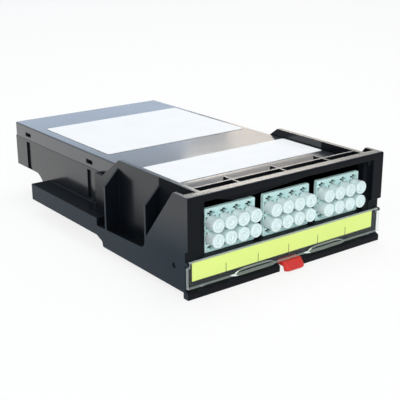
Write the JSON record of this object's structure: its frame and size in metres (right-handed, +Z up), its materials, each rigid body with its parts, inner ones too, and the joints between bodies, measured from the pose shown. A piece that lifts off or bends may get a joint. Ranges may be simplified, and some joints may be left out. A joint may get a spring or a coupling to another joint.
{
  "type": "fibre cassette",
  "caption": "Flat black fibre cassette with two rows of capped LC ports in front, a clear label cover, a red release tab and MPO ports behind.",
  "frame": {"origin": "under the middle of the whole cassette, at the foot of the front lip", "axes": "+X to the right seen from the front, +Y from the port side to the back, +Z up through the lid"},
  "size_m": [0.105, 0.1747, 0.0408],
  "materials": {
    "black_plastic": "moulded, slight sheen",
    "label_paper": "matt paper",
    "strip_paper": "matt paper",
    "clear_plastic": "clear, smooth",
    "red_plastic": "moulded, slight gloss",
    "steel": "drawn wire",
    "fibre_jacket": "smooth jacket",
    "plug_plastic": "moulded",
    "ceramic": "ground white ceramic",
    "aqua_plastic": "moulded, slight gloss",
    "cap_plastic": "moulded, slight gloss"
  },
  "bodies": {
    "base": {"cassette_base": "black_plastic", "label_strip": "strip_paper", "lever_pin": "steel", "lever_spring": "steel", "fibre_coil": "fibre_jacket", "fibre_fan_upper": "fibre_jacket", "fibre_fan_lower": "fibre_jacket", "fibre_lead_left": "fibre_jacket", "fibre_lead_right": "fibre_jacket", "lc_plugs_upper": "plug_plastic", "lc_plugs_lower": "plug_plastic", "alignment_sleeves_upper": "ceramic", "alignment_sleeves_lower": "ceramic", "mpo_adapter_left": "black_plastic", "mpo_adapter_right": "black_plastic", "mpo_plug_left": "plug_plastic", "mpo_plug_right": "plug_plastic", "lc_adapter_left_upper": "aqua_plastic", "lc_adapter_left_lower": "aqua_plastic", "lc_adapter_middle_upper": "aqua_plastic", "lc_adapter_middle_lower": "aqua_plastic", "lc_adapter_right_upper": "aqua_plastic", "lc_adapter_right_lower": "aqua_plastic"},
    "lid": {"lid": "black_plastic", "lid_label_rear": "label_paper", "lid_label_front": "label_paper"},
    "cover": {"label_cover": "clear_plastic"},
    "lever": {"release_lever": "red_plastic"},
    "dust_cap_upper_01": {"dust_cap_upper_01": "cap_plastic"},
    "dust_cap_upper_02": {"dust_cap_upper_02": "cap_plastic"},
    "dust_cap_upper_03": {"dust_cap_upper_03": "cap_plastic"},
    "dust_cap_upper_04": {"dust_cap_upper_04": "cap_plastic"},
    "dust_cap_upper_05": {"dust_cap_upper_05": "cap_plastic"},
    "dust_cap_upper_06": {"dust_cap_upper_06": "cap_plastic"},
    "dust_cap_upper_07": {"dust_cap_upper_07": "cap_plastic"},
    "dust_cap_upper_08": {"dust_cap_upper_08": "cap_plastic"},
    "dust_cap_upper_09": {"dust_cap_upper_09": "cap_plastic"},
    "dust_cap_upper_10": {"dust_cap_upper_10": "cap_plastic"},
    "dust_cap_upper_11": {"dust_cap_upper_11": "cap_plastic"},
    "dust_cap_upper_12": {"dust_cap_upper_12": "cap_plastic"},
    "dust_cap_lower_01": {"dust_cap_lower_01": "cap_plastic"},
    "dust_cap_lower_02": {"dust_cap_lower_02": "cap_plastic"},
    "dust_cap_lower_03": {"dust_cap_lower_03": "cap_plastic"},
    "dust_cap_lower_04": {"dust_cap_lower_04": "cap_plastic"},
    "dust_cap_lower_05": {"dust_cap_lower_05": "cap_plastic"},
    "dust_cap_lower_06": {"dust_cap_lower_06": "cap_plastic"},
    "dust_cap_lower_07": {"dust_cap_lower_07": "cap_plastic"},
    "dust_cap_lower_08": {"dust_cap_lower_08": "cap_plastic"},
    "dust_cap_lower_09": {"dust_cap_lower_09": "cap_plastic"},
    "dust_cap_lower_10": {"dust_cap_lower_10": "cap_plastic"},
    "dust_cap_lower_11": {"dust_cap_lower_11": "cap_plastic"},
    "dust_cap_lower_12": {"dust_cap_lower_12": "cap_plastic"},
    "rear_cap_left": {"mpo_dust_cap_left": "cap_plastic"},
    "rear_cap_right": {"mpo_dust_cap_right": "cap_plastic"}
  },
  "joints": [
    {"name": "dust_cap_upper_01_pull", "type": "slide", "parent": "base", "child": "dust_cap_upper_01", "axis": [0, -1, 0], "range_m": [0, 0.012]},
    {"name": "dust_cap_upper_02_pull", "type": "slide", "parent": "base", "child": "dust_cap_upper_02", "axis": [0, -1, 0], "range_m": [0, 0.012]},
    {"name": "dust_cap_upper_03_pull", "type": "slide", "parent": "base", "child": "dust_cap_upper_03", "axis": [0, -1, 0], "range_m": [0, 0.012]},
    {"name": "dust_cap_upper_04_pull", "type": "slide", "parent": "base", "child": "dust_cap_upper_04", "axis": [0, -1, 0], "range_m": [0, 0.012]},
    {"name": "dust_cap_upper_05_pull", "type": "slide", "parent": "base", "child": "dust_cap_upper_05", "axis": [0, -1, 0], "range_m": [0, 0.012]},
    {"name": "dust_cap_upper_06_pull", "type": "slide", "parent": "base", "child": "dust_cap_upper_06", "axis": [0, -1, 0], "range_m": [0, 0.012]},
    {"name": "dust_cap_upper_07_pull", "type": "slide", "parent": "base", "child": "dust_cap_upper_07", "axis": [0, -1, 0], "range_m": [0, 0.012]},
    {"name": "dust_cap_upper_08_pull", "type": "slide", "parent": "base", "child": "dust_cap_upper_08", "axis": [0, -1, 0], "range_m": [0, 0.012]},
    {"name": "dust_cap_upper_09_pull", "type": "slide", "parent": "base", "child": "dust_cap_upper_09", "axis": [0, -1, 0], "range_m": [0, 0.012]},
    {"name": "dust_cap_upper_10_pull", "type": "slide", "parent": "base", "child": "dust_cap_upper_10", "axis": [0, -1, 0], "range_m": [0, 0.012]},
    {"name": "dust_cap_upper_11_pull", "type": "slide", "parent": "base", "child": "dust_cap_upper_11", "axis": [0, -1, 0], "range_m": [0, 0.012]},
    {"name": "dust_cap_upper_12_pull", "type": "slide", "parent": "base", "child": "dust_cap_upper_12", "axis": [0, -1, 0], "range_m": [0, 0.012]},
    {"name": "dust_cap_lower_01_pull", "type": "slide", "parent": "base", "child": "dust_cap_lower_01", "axis": [0, -1, 0], "range_m": [0, 0.012]},
    {"name": "dust_cap_lower_02_pull", "type": "slide", "parent": "base", "child": "dust_cap_lower_02", "axis": [0, -1, 0], "range_m": [0, 0.012]},
    {"name": "dust_cap_lower_03_pull", "type": "slide", "parent": "base", "child": "dust_cap_lower_03", "axis": [0, -1, 0], "range_m": [0, 0.012]},
    {"name": "dust_cap_lower_04_pull", "type": "slide", "parent": "base", "child": "dust_cap_lower_04", "axis": [0, -1, 0], "range_m": [0, 0.012]},
    {"name": "dust_cap_lower_05_pull", "type": "slide", "parent": "base", "child": "dust_cap_lower_05", "axis": [0, -1, 0], "range_m": [0, 0.012]},
    {"name": "dust_cap_lower_06_pull", "type": "slide", "parent": "base", "child": "dust_cap_lower_06", "axis": [0, -1, 0], "range_m": [0, 0.012]},
    {"name": "dust_cap_lower_07_pull", "type": "slide", "parent": "base", "child": "dust_cap_lower_07", "axis": [0, -1, 0], "range_m": [0, 0.012]},
    {"name": "dust_cap_lower_08_pull", "type": "slide", "parent": "base", "child": "dust_cap_lower_08", "axis": [0, -1, 0], "range_m": [0, 0.012]},
    {"name": "dust_cap_lower_09_pull", "type": "slide", "parent": "base", "child": "dust_cap_lower_09", "axis": [0, -1, 0], "range_m": [0, 0.012]},
    {"name": "dust_cap_lower_10_pull", "type": "slide", "parent": "base", "child": "dust_cap_lower_10", "axis": [0, -1, 0], "range_m": [0, 0.012]},
    {"name": "dust_cap_lower_11_pull", "type": "slide", "parent": "base", "child": "dust_cap_lower_11", "axis": [0, -1, 0], "range_m": [0, 0.012]},
    {"name": "dust_cap_lower_12_pull", "type": "slide", "parent": "base", "child": "dust_cap_lower_12", "axis": [0, -1, 0], "range_m": [0, 0.012]},
    {"name": "label_cover_hinge", "type": "hinge", "parent": "base", "child": "cover", "pos_m": [0, -0.08275, 0.01445], "axis": [-1, 0, 0], "range_deg": [0, 90]},
    {"name": "release_lever_pivot", "type": "hinge", "parent": "base", "child": "lever", "pos_m": [0, -0.06665, 0.0054], "axis": [1, 0, 0], "range_deg": [0, 7], "stiffness_Nm_per_rad": 0.002, "springref_deg": -2.86},
    {"name": "lid_lift", "type": "slide", "parent": "base", "child": "lid", "axis": [0, 0, 1], "range_m": [0, 0.045]},
    {"name": "rear_cap_left_pull", "type": "slide", "parent": "base", "child": "rear_cap_left", "axis": [0, 1, 0], "range_m": [0, 0.012]},
    {"name": "rear_cap_right_pull", "type": "slide", "parent": "base", "child": "rear_cap_right", "axis": [0, 1, 0], "range_m": [0, 0.012]}
  ]
}
